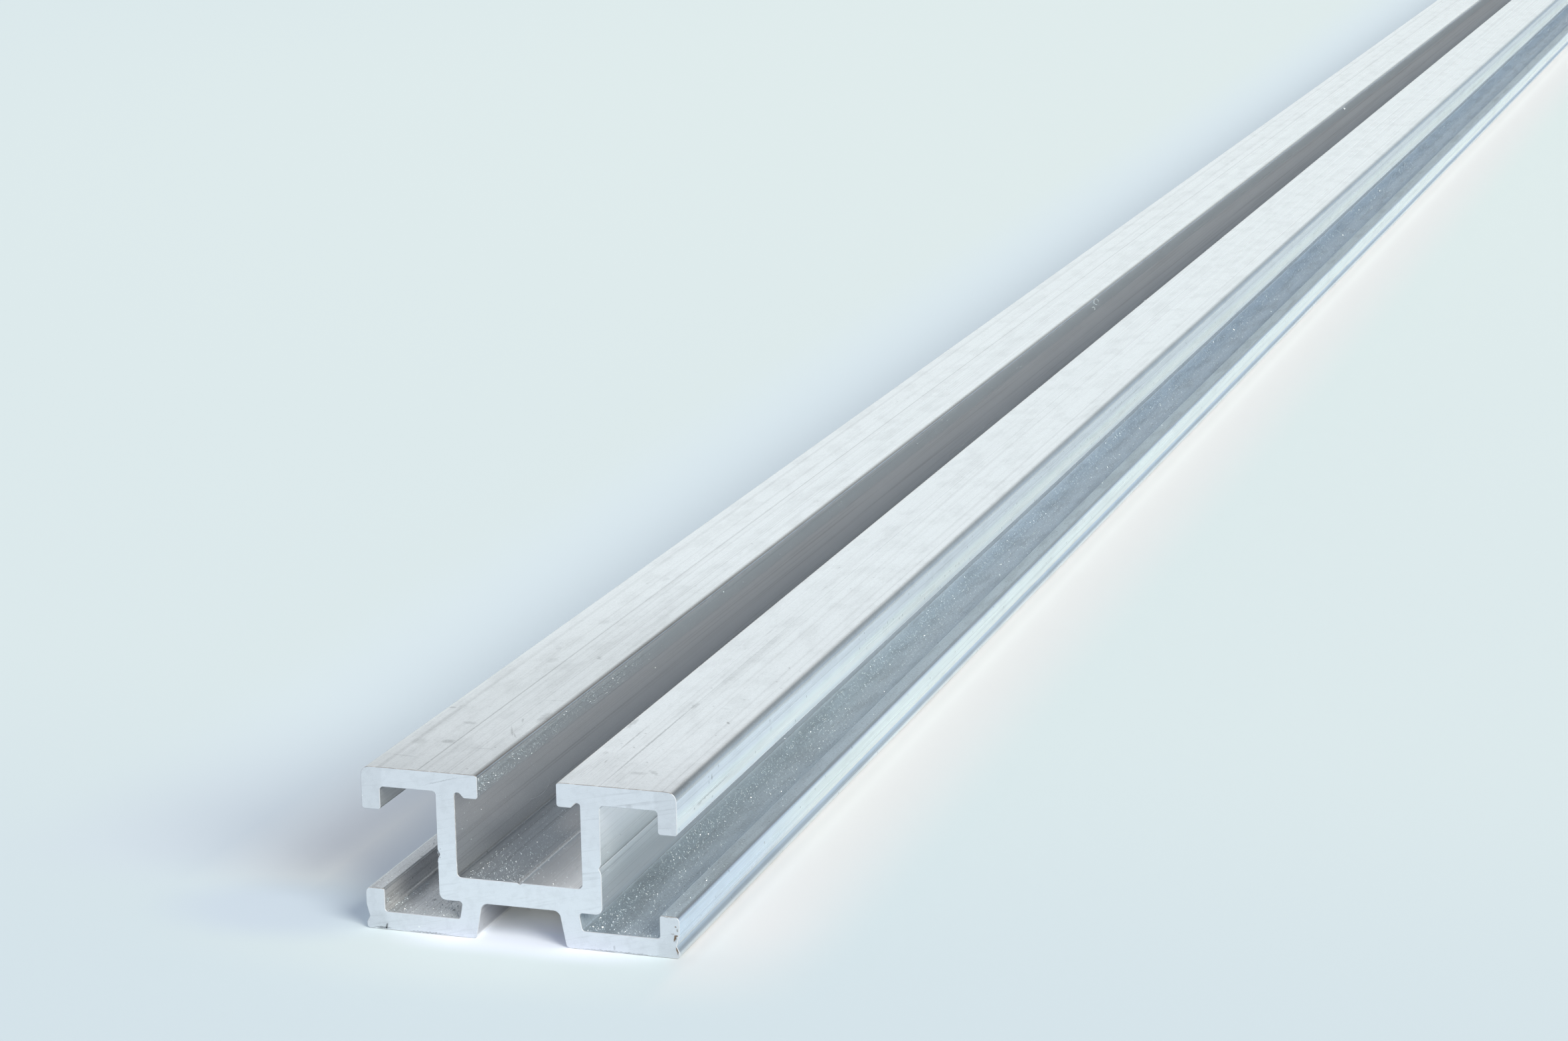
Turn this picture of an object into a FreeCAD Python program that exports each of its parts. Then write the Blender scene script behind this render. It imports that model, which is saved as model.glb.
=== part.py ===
import FreeCAD
import Part
import math
import os

# An extruded aluminium batten: one straight length of stock, one solid.
# A bolt channel runs along its top behind two lips, a wide channel runs along each side
# between the top flange and the foot, and a splayed groove runs along the underside.
# The length lies along Y, the width along X. The origin is at the middle of the underside.
# All sizes are in millimetres.

# Overall
stock_length = 2000.0
profile_width = 40.0
profile_height = 20.5

# Top flange, with a lip hanging from each outer edge
flange_thickness = 2.45
side_lip_depth = 5.35
side_lip_thickness = 2.4

# Bolt channel, open at the top between two lips
slot_width = 10.0
slot_lip_depth = 3.0
channel_width = 15.9
relief_width = 1.15
relief_height = 0.62

# Webs beside the bolt channel and the floor that joins them
web_thickness = 2.45
floor_thickness = 3.05

# Splayed legs below the floor, with a foot and an upstanding lip on each side
leg_height = 4.5
under_groove_width = 9.85
leg_thickness = 2.5
leg_splay_deg = 10.5
foot_thickness = 2.3
foot_lip_height = 5.2
foot_lip_thickness = 2.45

# Lengthwise V grooves: on each web, on the channel floor and on each foot lip
web_groove_rise = 5.7
web_groove_width = 1.2
web_groove_depth = 0.28
floor_groove_width = 0.75
floor_groove_depth = 0.2
foot_groove_level = 1.55
foot_groove_rise = 1.5
foot_groove_fall = 0.75
foot_groove_depth = 0.4

# Rounded edges
outer_edge_radius = 1.15
slot_edge_radius = 0.4
lip_edge_radius = 0.35
relief_radius = 0.3
channel_corner_radius = 0.55
flange_fillet_radius = 0.45
web_foot_radius = 0.85
leg_fillet_radius = 0.4
foot_lip_outer_radius = 0.65
foot_lip_inner_radius = 0.3
foot_edge_radius = 0.45
under_groove_radius = 0.85

# Levels above the underside and distances from the middle that follow from the sizes above
half_width = profile_width / 2
half_slot = slot_width / 2
half_channel = channel_width / 2
web_face = half_channel + web_thickness
lip_face = half_width - side_lip_thickness
foot_lip_face = half_width - foot_lip_thickness
flange_underside = profile_height - flange_thickness
slot_lip_end = profile_height - slot_lip_depth
side_lip_end = profile_height - side_lip_depth
channel_floor = leg_height + floor_thickness
web_groove_level = leg_height + web_groove_rise
splay = math.tan(math.radians(leg_splay_deg))


def leg_inner_face(level):
    """Distance from the middle to a leg's inner face at a level."""
    return under_groove_width / 2 + splay * (leg_height - level)


def leg_outer_face(level):
    """Distance from the middle to a leg's outer face at a level."""
    return leg_inner_face(level) + leg_thickness


def half_section():
    """Corners of the right half, from the channel floor round to the underside: x, z, radius."""
    return [
        (0.0, channel_floor - floor_groove_depth, 0.0),
        (floor_groove_width / 2, channel_floor, 0.0),
        (half_channel, channel_floor, channel_corner_radius),
        (half_channel, slot_lip_end + relief_height, relief_radius),
        (half_channel - relief_width / 2, slot_lip_end + relief_height, relief_radius),
        (half_channel - relief_width, slot_lip_end, relief_radius),
        (half_slot, slot_lip_end, lip_edge_radius),
        (half_slot, profile_height, slot_edge_radius),
        (half_width, profile_height, outer_edge_radius),
        (half_width, side_lip_end, lip_edge_radius),
        (lip_face, side_lip_end, lip_edge_radius),
        (lip_face, flange_underside, flange_fillet_radius),
        (web_face, flange_underside, flange_fillet_radius),
        (web_face, web_groove_level + web_groove_width / 2, 0.0),
        (web_face - web_groove_depth, web_groove_level, 0.0),
        (web_face, web_groove_level - web_groove_width / 2, 0.0),
        (web_face, leg_height, web_foot_radius),
        (leg_outer_face(leg_height), leg_height, leg_fillet_radius),
        (leg_outer_face(foot_thickness), foot_thickness, leg_fillet_radius),
        (foot_lip_face, foot_thickness, leg_fillet_radius),
        (foot_lip_face, foot_lip_height, foot_lip_inner_radius),
        (half_width, foot_lip_height, foot_lip_outer_radius),
        (half_width, foot_groove_level + foot_groove_rise, 0.0),
        (half_width - foot_groove_depth, foot_groove_level, 0.0),
        (half_width, foot_groove_level - foot_groove_fall, 0.0),
        (half_width, 0.0, foot_edge_radius),
        (leg_inner_face(0.0), 0.0, foot_edge_radius),
        (leg_inner_face(leg_height), leg_height, under_groove_radius),
    ]


def whole_section():
    """The right half and its mirror image, as one closed loop of corners."""
    right = half_section()
    left = [(-x, z, radius) for x, z, radius in reversed(right) if x > 0]
    return right + left


def rounded_corner(before, corner, after):
    """Start, middle and end of the arc that rounds a corner, or the corner alone where it is sharp."""
    x, z, radius = corner
    point = FreeCAD.Vector(x, 0, z)
    if radius == 0:
        return [point]
    back = (FreeCAD.Vector(before[0], 0, before[1]) - point).normalize()
    ahead = (FreeCAD.Vector(after[0], 0, after[1]) - point).normalize()
    half_angle = back.getAngle(ahead) / 2
    setback = radius / math.tan(half_angle)
    inward = (back + ahead).normalize()
    middle = point + inward * (radius / math.sin(half_angle) - radius)
    return [point + back * setback, middle, point + ahead * setback]


def section_face():
    """The profile's section as one flat face on the near end."""
    corners = whole_section()
    spans = []
    for index, corner in enumerate(corners):
        following = corners[(index + 1) % len(corners)]
        spans.append(rounded_corner(corners[index - 1], corner, following))
    edges = []
    for index, span in enumerate(spans):
        if len(span) == 3:
            edges.append(Part.Arc(*span).toShape())
        start = span[-1]
        end = spans[(index + 1) % len(spans)][0]
        edges.append(Part.LineSegment(start, end).toShape())
    face = Part.Face(Part.Wire(edges))
    face.translate(FreeCAD.Vector(0, -stock_length / 2, 0))
    return face


def batten_profile():
    """The whole length of stock, extruded from its section."""
    return section_face().extrude(FreeCAD.Vector(0, stock_length, 0))


os.makedirs("parts", exist_ok=True)
shape = batten_profile()
print("batten_profile: valid", shape.isValid(), "solids", len(shape.Solids))
print("section area", round(shape.Volume / stock_length, 2), "mm2, volume", round(shape.Volume), "mm3")
shape.exportStep("parts/batten_profile.step")
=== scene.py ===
import math
import random

import bmesh
import bpy
import numpy as np
from mathutils import Euler, Matrix, Vector


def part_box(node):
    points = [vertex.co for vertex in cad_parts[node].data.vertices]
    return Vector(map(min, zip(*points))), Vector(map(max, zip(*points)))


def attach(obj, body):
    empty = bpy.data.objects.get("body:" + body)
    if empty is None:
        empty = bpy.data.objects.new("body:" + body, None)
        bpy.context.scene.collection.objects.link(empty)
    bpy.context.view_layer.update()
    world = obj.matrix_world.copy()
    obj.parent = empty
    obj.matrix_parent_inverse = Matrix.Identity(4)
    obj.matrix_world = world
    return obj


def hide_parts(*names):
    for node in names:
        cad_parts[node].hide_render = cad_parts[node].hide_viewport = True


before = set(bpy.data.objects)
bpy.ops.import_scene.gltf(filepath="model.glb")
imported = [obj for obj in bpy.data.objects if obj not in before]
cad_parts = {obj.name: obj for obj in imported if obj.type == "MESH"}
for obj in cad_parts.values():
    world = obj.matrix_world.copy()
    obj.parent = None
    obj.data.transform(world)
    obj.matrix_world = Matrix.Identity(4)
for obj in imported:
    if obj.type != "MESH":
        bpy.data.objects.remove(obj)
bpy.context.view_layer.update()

# The batten.
# One straight length of aluminium pushed through a die. The die gives it a bolt channel along
# the top, a channel along each side and a splayed groove below; the saw leaves a thin rim at each end.

mm = 0.001
low, high = (Vector(corner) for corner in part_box("batten_profile"))
near_end = low.y
far_end = high.y
half_width = high.x / mm
top_level = high.z / mm
stock_length = (far_end - near_end) / mm

# Sizes in millimetres
wall = 2.45
side_lip_depth = 5.35
side_lip_thickness = 2.4
half_slot = 5.0
slot_lip_depth = 3.0
half_channel = 7.95
relief_width = 1.15
relief_height = 0.62
floor_thickness = 3.05
floor_underside = 4.5
half_groove = 4.925
leg_thickness = 2.5
leg_splay_deg = 10.5
foot_top = 2.3
foot_lip_top = 5.2
rim_width = 0.06

# V grooves on the channel's floor, on each web and on each foot lip
floor_mark_half_width = 0.375
floor_mark_depth = 0.2
web_mark_level = 10.2
web_mark_half_width = 0.6
web_mark_depth = 0.28
foot_mark_level = 1.55
foot_mark_rise = 1.5
foot_mark_fall = 0.75
foot_mark_depth = 0.4

# Radii of the rounded edges
flange_edge = 1.15
slot_edge = 0.4
lip_edge = 0.35
relief_edge = 0.3
channel_corner = 0.55
flange_fillet = 0.45
web_foot = 0.85
leg_fillet = 0.4
foot_lip_outer_edge = 0.65
foot_lip_inner_edge = 0.3
foot_edge = 0.45
groove_corner = 0.85

# Levels, and distances from the middle, that follow
flange_underside = top_level - wall
side_lip_end = top_level - side_lip_depth
side_lip_face = half_width - side_lip_thickness
slot_lip_end = top_level - slot_lip_depth
relief_top = slot_lip_end + relief_height
web_face = half_channel + wall
channel_floor = floor_underside + floor_thickness
foot_lip_face = half_width - wall
splay = math.tan(math.radians(leg_splay_deg))


def leg_face(level):
    """Distance from the middle to a leg's inner face at a level."""
    return half_groove + splay * (floor_underside - level)


# Corners of the right half in millimetres, from the channel floor round to the underside: x, z, radius
half_section = (
    (0.0, channel_floor - floor_mark_depth, 0.0),
    (floor_mark_half_width, channel_floor, 0.0),
    (half_channel, channel_floor, channel_corner),
    (half_channel, relief_top, relief_edge),
    (half_channel - relief_width / 2, relief_top, relief_edge),
    (half_channel - relief_width, slot_lip_end, relief_edge),
    (half_slot, slot_lip_end, lip_edge),
    (half_slot, top_level, slot_edge),
    (half_width, top_level, flange_edge),
    (half_width, side_lip_end, lip_edge),
    (side_lip_face, side_lip_end, lip_edge),
    (side_lip_face, flange_underside, flange_fillet),
    (web_face, flange_underside, flange_fillet),
    (web_face, web_mark_level + web_mark_half_width, 0.0),
    (web_face - web_mark_depth, web_mark_level, 0.0),
    (web_face, web_mark_level - web_mark_half_width, 0.0),
    (web_face, floor_underside, web_foot),
    (leg_face(floor_underside) + leg_thickness, floor_underside, leg_fillet),
    (leg_face(foot_top) + leg_thickness, foot_top, leg_fillet),
    (foot_lip_face, foot_top, leg_fillet),
    (foot_lip_face, foot_lip_top, foot_lip_inner_edge),
    (half_width, foot_lip_top, foot_lip_outer_edge),
    (half_width, foot_mark_level + foot_mark_rise, 0.0),
    (half_width - foot_mark_depth, foot_mark_level, 0.0),
    (half_width, foot_mark_level - foot_mark_fall, 0.0),
    (half_width, 0.0, foot_edge),
    (leg_face(0.0), 0.0, foot_edge),
    (half_groove, floor_underside, groove_corner),
    (0.0, floor_underside, 0.0),
)

arc_steps = 6
sharp_deg = 31
rim = rim_width * mm
section = bmesh.new()
corners = [section.verts.new((x * mm, near_end + rim, z * mm)) for x, z, radius in half_section]
section.faces.new(corners)
for corner, (x, z, radius) in zip(corners, half_section):
    if radius:
        setback = radius * mm / math.tan(corner.link_loops[0].calc_angle() / 2)
        bmesh.ops.bevel(section, geom=[corner], offset=setback, offset_type="OFFSET", segments=arc_steps,
                        profile=0.5, affect="VERTICES", material=-1)
bmesh.ops.mirror(section, geom=section.verts[:] + section.edges[:] + section.faces[:],
                 matrix=Matrix(), merge_dist=1e-7, axis="X")
grown = bmesh.ops.extrude_face_region(section, geom=section.faces[:])
moved = [part for part in grown["geom"] if isinstance(part, bmesh.types.BMVert)]
bmesh.ops.translate(section, vec=(0, far_end - near_end - 2 * rim, 0), verts=moved)
bmesh.ops.recalc_face_normals(section, faces=section.faces[:])

# Each stretch of the section gets its own finish; the slack takes in the faces of its rounded edges
flange_tops, outer_sides, bolt_channel, side_channels, foot_channels, underside, saw_cuts, saw_rims = range(8)
slack = 0.1
web_foot_turn = floor_underside + 0.2


def finish_of(face):
    """Which finish a long face gets, from the place of its middle and the way it faces."""
    middle = face.calc_center_median() / mm
    out = abs(middle.x)
    level = middle.z
    facing = face.normal
    if level > top_level - flange_edge - slack and out > half_slot and facing.z > 0.05:
        return flange_tops
    if out > half_width - foot_lip_outer_edge - slack and abs(facing.x) > 0.2:
        return outer_sides
    if out < half_channel + slack and level > channel_floor - floor_mark_depth - slack:
        return bolt_channel
    if out < leg_face(0.0) + slack or facing.z < -0.5 and level < foot_mark_level:
        return underside
    if level < web_foot_turn and out < foot_lip_face + slack:
        return foot_channels
    if level < foot_lip_top + slack and out > foot_lip_face - slack:
        return foot_channels
    return side_channels


ends = [face for face in section.faces if abs(face.normal.y) > 0.5]
for face in section.faces:
    if face in ends:
        face.material_index = saw_cuts
    else:
        face.material_index = finish_of(face)
        face.smooth = True
edged = bmesh.ops.inset_region(section, faces=ends, thickness=rim, depth=rim, use_even_offset=True)
for face in edged["faces"]:
    face.material_index = saw_rims
batten_mesh = bpy.data.meshes.new("batten")
section.to_mesh(batten_mesh)
section.free()
batten_mesh.set_sharp_from_angle(angle=math.radians(sharp_deg))
batten = bpy.data.objects.new("batten", batten_mesh)
bpy.context.scene.collection.objects.link(batten)
weighted = batten.modifiers.new("flat faces stay flat", "WEIGHTED_NORMAL")
weighted.keep_sharp = True
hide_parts("batten_profile")
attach(batten, "root")

# The mill finish.
# Bare aluminium as it leaves the die: it mirrors softly, with fine lines drawn along its
# length, a few deeper lines, and grey stains, scratches and dust from handling and sawing.
# Their tints also hold painted light and shade: painted reflections on roundings and in grooves, painted
# shade on the left and in corners and recesses.

dust_white = (0.97, 0.98, 0.98)


def new_material(name):
    """An empty node material and its node tree."""
    material = bpy.data.materials.new(name)
    material.use_nodes = True
    tree = material.node_tree
    tree.nodes.clear()
    return material, tree


def feed(tree, socket, value):
    """Links another node's output to a socket, or sets the socket's own value. A colour has three parts."""
    if isinstance(value, bpy.types.NodeSocket):
        tree.links.new(value, socket)
    else:
        socket.default_value = (*value, 1.0) if socket.type == "RGBA" else value


def add(tree, kind, settings=None, **inputs):
    """Adds a node, sets its properties and feeds its inputs: i0 is the first, Base_Color is Base Color."""
    made = tree.nodes.new(kind)
    for key, value in (settings or {}).items():
        setattr(made, key, value)
    for key, value in inputs.items():
        by_number = key[0] == "i" and key[1:].isdigit()
        feed(tree, made.inputs[int(key[1:])] if by_number else made.inputs[key.replace("_", " ")], value)
    return made


def maths(tree, operation, first, second=0.0, clamp=False):
    """One math node's result."""
    settings = {"operation": operation, "use_clamp": clamp}
    return add(tree, "ShaderNodeMath", settings, i0=first, i1=second).outputs[0]


def total(tree, *amounts):
    """The sum of several amounts."""
    whole = amounts[0]
    for amount in amounts[1:]:
        whole = maths(tree, "ADD", whole, amount)
    return whole


def product(tree, *amounts):
    """Several amounts multiplied."""
    whole = amounts[0]
    for amount in amounts[1:]:
        whole = maths(tree, "MULTIPLY", whole, amount)
    return whole


def below(tree, value, limit):
    """One where a value is under a limit, else zero."""
    return maths(tree, "LESS_THAN", value, limit)


def above(tree, value, limit):
    """One where a value is over a limit, else zero."""
    return maths(tree, "GREATER_THAN", value, limit)


def fade(tree, value, start, finish, low=0.0, high=1.0):
    """Goes smoothly from low, where the value is at start, to high, where it is at finish."""
    return add(tree, "ShaderNodeMapRange", {"interpolation_type": "SMOOTHSTEP"},
               Value=value, i1=start, i2=finish, i3=low, i4=high).outputs[0]


def blend(tree, amount, first, second, how="MIX"):
    """Mixes two colours by an amount."""
    return add(tree, "ShaderNodeMix", {"data_type": "RGBA", "blend_type": how},
               i0=amount, i6=first, i7=second).outputs[2]


def steps(tree, factor, stops):
    """A ramp from a value to colours: stops are (position, colour)."""
    ramp = add(tree, "ShaderNodeValToRGB", Fac=factor)
    while len(ramp.color_ramp.elements) < len(stops):
        ramp.color_ramp.elements.new(1.0)
    for element, (position, colour) in zip(ramp.color_ramp.elements, stops):
        element.position = position
        element.color = (*colour, 1.0)
    return ramp.outputs[0]


def ramped(tree, value, stops):
    """A colour that follows a value: stops are (value, colour) in rising order."""
    start, finish = stops[0][0], stops[-1][0]
    share = add(tree, "ShaderNodeMapRange", Value=value, i1=start, i2=finish, i3=0.0, i4=1.0).outputs[0]
    return steps(tree, share, [((at - start) / (finish - start), colour) for at, colour in stops])


def place_in_mm(tree):
    """The surface's own place in millimetres, with y counted from the near end, and its three parts."""
    where = add(tree, "ShaderNodeTexCoord").outputs["Object"]
    place = add(tree, "ShaderNodeMapping", Vector=where, Location=(0.0, -near_end / mm, 0.0),
                Scale=(1 / mm, 1 / mm, 1 / mm)).outputs[0]
    parts = add(tree, "ShaderNodeSeparateXYZ", Vector=place).outputs
    return place, parts["X"], parts["Y"], parts["Z"]


def noise(tree, place, stretch, scale, detail=3.0, roughness=0.5, turn=(0.0, 0.0, 0.0)):
    """Noise on a place in millimetres, drawn out along an axis whose stretch is below one."""
    turned = add(tree, "ShaderNodeMapping", Vector=place, Rotation=turn).outputs[0]
    mapped = add(tree, "ShaderNodeMapping", Vector=turned, Scale=stretch).outputs[0]
    return add(tree, "ShaderNodeTexNoise", Vector=mapped, Scale=scale, Detail=detail,
               Roughness=roughness).outputs[0]


def mottled(tree, place, stretch, scale, detail, roughness, start, full, depth):
    """Dark patches of a noise drawn out along the length: they start at one value, are deepest at another."""
    patches = noise(tree, place, (1.0, stretch, 1.0), scale, detail, roughness)
    return fade(tree, patches, start, full, 0.0, depth)


def drawn_lines(tree, place):
    """The fine lines that the die leaves along the length, about one half all over."""
    broad = noise(tree, place, (1.0, 0.0012, 1.0), 1.1, 3.0, 0.65)
    fine = noise(tree, place, (1.0, 0.003, 1.0), 5.5, 2.0, 0.6)
    return total(tree, product(tree, broad, 0.55), product(tree, fine, 0.45))


def die_line(tree, across, level, width, depth):
    """A dark line along the whole length, where the distance across is at a level."""
    off = maths(tree, "ABSOLUTE", maths(tree, "SUBTRACT", across, level))
    return fade(tree, off, width * 0.2, width, depth, 0.0)


def blot(tree, place, middle, size, depth, turn=(0.0, 0.0, 0.0), core=0.3):
    """A blot or scratch: an ellipsoid with a middle, half sizes and a turn, in millimetres and degrees."""
    turned = tuple(math.radians(angle) for angle in turn)
    local = add(tree, "ShaderNodeMapping", {"vector_type": "TEXTURE"}, Vector=place, Location=middle,
                Rotation=turned, Scale=size).outputs[0]
    reach = add(tree, "ShaderNodeVectorMath", {"operation": "LENGTH"}, i0=local).outputs["Value"]
    return fade(tree, reach, core, 1.0, depth, 0.0)


def ragged(tree, place, scale=1.6, reach=0.9):
    """The place pushed about a little, so that marks get uneven edges."""
    push = add(tree, "ShaderNodeTexNoise", Vector=place, Scale=scale, Detail=3.0).outputs["Color"]
    for operation, inputs in (("SUBTRACT", {"i1": (0.5, 0.5, 0.5)}), ("SCALE", {"Scale": reach}),
                              ("ADD", {"i1": place})):
        push = add(tree, "ShaderNodeVectorMath", {"operation": operation}, i0=push, **inputs).outputs[0]
    return push


def specks(tree, place, scale, radius, share, strength=1.0):
    """Round specks of a strength in a share of the cells of a size."""
    cells = add(tree, "ShaderNodeTexVoronoi", Vector=place, Scale=scale).outputs
    chosen = add(tree, "ShaderNodeSeparateXYZ", Vector=cells["Color"]).outputs["X"]
    inside = fade(tree, cells["Distance"], radius * 0.6, radius, strength, 0.0)
    return product(tree, inside, below(tree, chosen, share))


def darkened(tree, tint, marks):
    """A tint darkened by the sum of its marks."""
    tone = maths(tree, "SUBTRACT", 1.0, total(tree, *marks), clamp=True)
    return blend(tree, 1.0, tint, tone, "MULTIPLY")


def bumped(tree, height, depth):
    """The bump of a height whose whole range is a depth in millimetres."""
    return add(tree, "ShaderNodeBump", Strength=0.5, Distance=depth * mm, Height=height).outputs[0]


def skinned(tree, **inputs):
    """Ends a material with its metal skin."""
    skin = add(tree, "ShaderNodeBsdfPrincipled", **inputs).outputs[0]
    add(tree, "ShaderNodeOutputMaterial", Surface=skin)


def dressed(tree, tint, marks, glints, lines, metallic, roughness, depth):
    """Ends a finish: a tint with dark marks and bright glints, rough and bumped where its lines run."""
    colour = darkened(tree, tint, marks)
    if glints:
        colour = blend(tree, total(tree, *glints), colour, dust_white)
    rough = add(tree, "ShaderNodeMapRange", Value=lines, i1=0.3, i2=0.7, i3=roughness + 0.05,
                i4=roughness - 0.04).outputs[0]
    skinned(tree, Base_Color=colour, Metallic=metallic, Roughness=rough, Normal=bumped(tree, lines, depth))


# Stains, scratches and rubbed places on the flange tops: middle, half sizes, depth, turn in degrees
top_marks = (
    ((-5.9, 24.0), (0.7, 3.2), 0.24, 0),
    ((-13.5, 11.6), (1.1, 0.9), 0.24, 20),
    ((-14.0, 19.4), (1.3, 0.8), 0.22, 0),
    ((-17.1, 10.8), (1.4, 1.6), 0.14, 30),
    ((-18.6, 25.0), (0.7, 0.5), 0.30, 0),
    ((-17.4, 20.0), (0.9, 9.0), 0.11, 0),
    ((-14.3, 48.0), (1.0, 1.6), 0.14, 0),
    ((-14.2, 67.0), (0.9, 1.6), 0.10, 0),
    ((-15.5, 53.5), (0.7, 1.0), 0.11, 0),
    ((-15.6, 88.0), (0.5, 0.9), 0.11, 0),
    ((-13.8, 90.5), (0.5, 1.4), 0.13, 0),
    ((-8.7, 50.5), (0.35, 1.0), 0.22, 30),
    ((-7.6, 17.5), (0.16, 3.0), 0.24, 24),
    ((-6.6, 16.0), (0.16, 1.6), 0.22, 30),
    ((-8.0, 22.0), (0.18, 1.1), 0.28, 20),
    ((-7.0, 31.0), (2.4, 0.16), 0.18, 10),
    ((-8.3, 10.0), (2.2, 0.18), 0.15, 5),
    ((-16.5, 5.0), (2.4, 0.28), 0.13, -4),
    ((-6.4, 60.0), (0.6, 12.0), 0.10, 0),
    ((10.5, 18.0), (0.24, 17.0), 0.30, 0),
    ((10.6, 33.5), (0.5, 2.0), 0.24, 0),
    ((10.9, 54.0), (0.75, 26.0), 0.15, 0),
    ((7.85, 18.0), (0.16, 7.0), 0.30, 0),
    ((7.85, 9.2), (0.18, 0.8), 0.28, 0),
    ((7.4, 7.0), (0.14, 5.0), 0.12, 0),
    ((5.6, 24.5), (0.5, 3.0), 0.26, 0),
    ((16.95, 27.6), (0.24, 0.7), 0.45, 30),
    ((16.8, 52.5), (0.18, 0.6), 0.34, 30),
    ((9.2, 15.2), (0.18, 0.5), 0.32, 30),
    ((12.8, 10.0), (0.15, 0.4), 0.30, 30),
    ((15.0, 6.4), (0.5, 1.5), 0.24, 40),
    ((13.2, 5.8), (1.4, 0.7), 0.17, 0),
    ((6.6, 12.3), (0.4, 0.9), 0.15, 0),
    ((14.8, 33.2), (0.7, 0.45), 0.11, 0),
    ((9.3, 91.5), (0.25, 2.2), 0.15, 0),
    ((9.0, 68.0), (0.2, 2.2), 0.15, 0),
    ((8.0, 103.0), (0.2, 0.6), 0.24, 0),
)

# Die lines on the flange tops: distance from the middle, width, depth
top_lines = (
    (-8.7, 0.14, 0.11), (-9.15, 0.12, 0.08), (-12.6, 0.16, 0.24), (-17.6, 0.45, 0.10), (-10.3, 0.10, 0.06),
    (-11.6, 0.30, 0.06), (-7.3, 0.12, 0.06), (-14.7, 0.10, 0.06), (10.5, 0.12, 0.13), (12.0, 0.10, 0.08),
    (8.9, 0.10, 0.06), (14.2, 0.12, 0.05), (17.0, 0.30, 0.05), (18.3, 0.12, 0.06),
)

# Tones down a flange's outer rounding, a painted dark reflection: level, colour
edge_reflection_tones = (
    (19.35, (0.79, 0.84, 0.92)), (19.55, (0.71, 0.714, 0.744)), (19.74, (0.663, 0.653, 0.667)),
    (19.93, (0.71, 0.65, 0.60)), (20.09, (0.634, 0.584, 0.537)), (20.23, (0.66, 0.638, 0.608)),
    (20.35, (0.848, 0.83, 0.803)), (20.43, (0.813, 0.832, 0.83)), (20.5, (0.865, 0.88, 0.885)),
)

# Tones over the rounding at the slot's left edge, a painted highlight and painted dark bands of its
# reflection: distance from the middle, colour
slot_edge_tones = (
    (5.0, (1.0, 1.0, 1.0)), (5.02, (1.0, 1.0, 1.0)), (5.06, (0.74, 0.66, 0.58)), (5.12, (0.63, 0.54, 0.47)),
    (5.2, (0.71, 0.67, 0.64)), (5.3, (0.43, 0.44, 0.45)), (5.42, (0.49, 0.51, 0.52)),
    (5.6, (0.74, 0.735, 0.74)), (5.85, (0.86, 0.875, 0.895)),
)
broad_mark = 0.3
left_reflection_middle = 19.0
left_reflection_slant = 3.3
left_reflection_fade = (10.0, 75.0)
left_reflection_depth = 0.125
dust_fade = (130.0, 90.0)


def edge_dust(tree, place, along, towards_edge):
    """Swarf dust that clings to a flange's outer edge, up to the place where it was handled."""
    return product(tree, specks(tree, place, 3.0, 0.22, 0.22), towards_edge, fade(tree, along, *dust_fade))


def flange_top_finish():
    """The two faces on top: rubbed and scratched, with a grey film towards the sawn end, a painted darker
    reflection on the left top up to a slanting line, and painted reflections on the roundings.
    """
    material, tree = new_material("flange_top_finish")
    place, across, along, level = place_in_mm(tree)
    lines = drawn_lines(tree, place)
    out = maths(tree, "ABSOLUTE", across)
    on_left = below(tree, across, 0.0)
    uneven = ragged(tree, place)
    wavy = ragged(tree, place, 1.6, 0.3)
    marks = [blot(tree, wavy if min(size) < broad_mark else uneven, (*middle, top_level), (*size, 1.0),
                  0.85 * depth, (0, 0, turn)) for middle, size, depth, turn in top_marks]
    marks += [die_line(tree, across, *line) for line in top_lines]
    # Painted reflection: the left top is darker from the cut up to a line that slants across it.
    reflection_end = product(tree, maths(tree, "ADD", across, left_reflection_middle), left_reflection_slant, on_left)
    past_reflection = maths(tree, "SUBTRACT", along, reflection_end)
    marks += [
        product(tree, fade(tree, past_reflection, *left_reflection_fade, left_reflection_depth, 0.0), on_left),
        product(tree, die_line(tree, across, -5.18, 0.25, 0.18), fade(tree, along, 20.0, 60.0)),
        fade(tree, along, 1.0, 16.0, 0.11, 0.0),
        fade(tree, along, 110.0, 60.0, 0.0, 0.035),
        fade(tree, lines, 0.49, 0.33, 0.0, 0.07),
        mottled(tree, place, 0.35, 0.35, 4.0, 0.6, 0.54, 0.36, 0.07),
        mottled(tree, place, 0.1, 6.0, 2.0, 0.5, 0.46, 0.30, 0.05),
        mottled(tree, place, 0.7, 3.4, 3.0, 0.7, 0.54, 0.34, 0.06),
        specks(tree, place, 0.7, 0.14, 0.05, 0.25),
    ]
    on_slot_edge = product(tree, fade(tree, across, -5.9, -5.7), on_left)
    tint = blend(tree, fade(tree, along, 2.0, 40.0), (0.855, 0.865, 0.885), (0.865, 0.882, 0.900))
    # Painted reflection on the roundings: both slot edges dimmed and warmed, the left slot edge and the right
    # flange's outer rounding toned across.
    tint = blend(tree, fade(tree, out, 5.42, 5.2), tint, (0.70, 0.66, 0.63))
    tint = blend(tree, on_slot_edge, tint, ramped(tree, out, slot_edge_tones))
    tint = blend(tree, fade(tree, across, 19.0, 19.3), tint, ramped(tree, level, edge_reflection_tones))
    glints = [specks(tree, place, 1.9, 0.13, 0.05),
              edge_dust(tree, place, along, fade(tree, across, 19.15, 19.4, 0.0, 0.8))]
    dressed(tree, tint, marks, glints, lines, 1.0, 0.28, 0.03)
    return material


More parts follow.
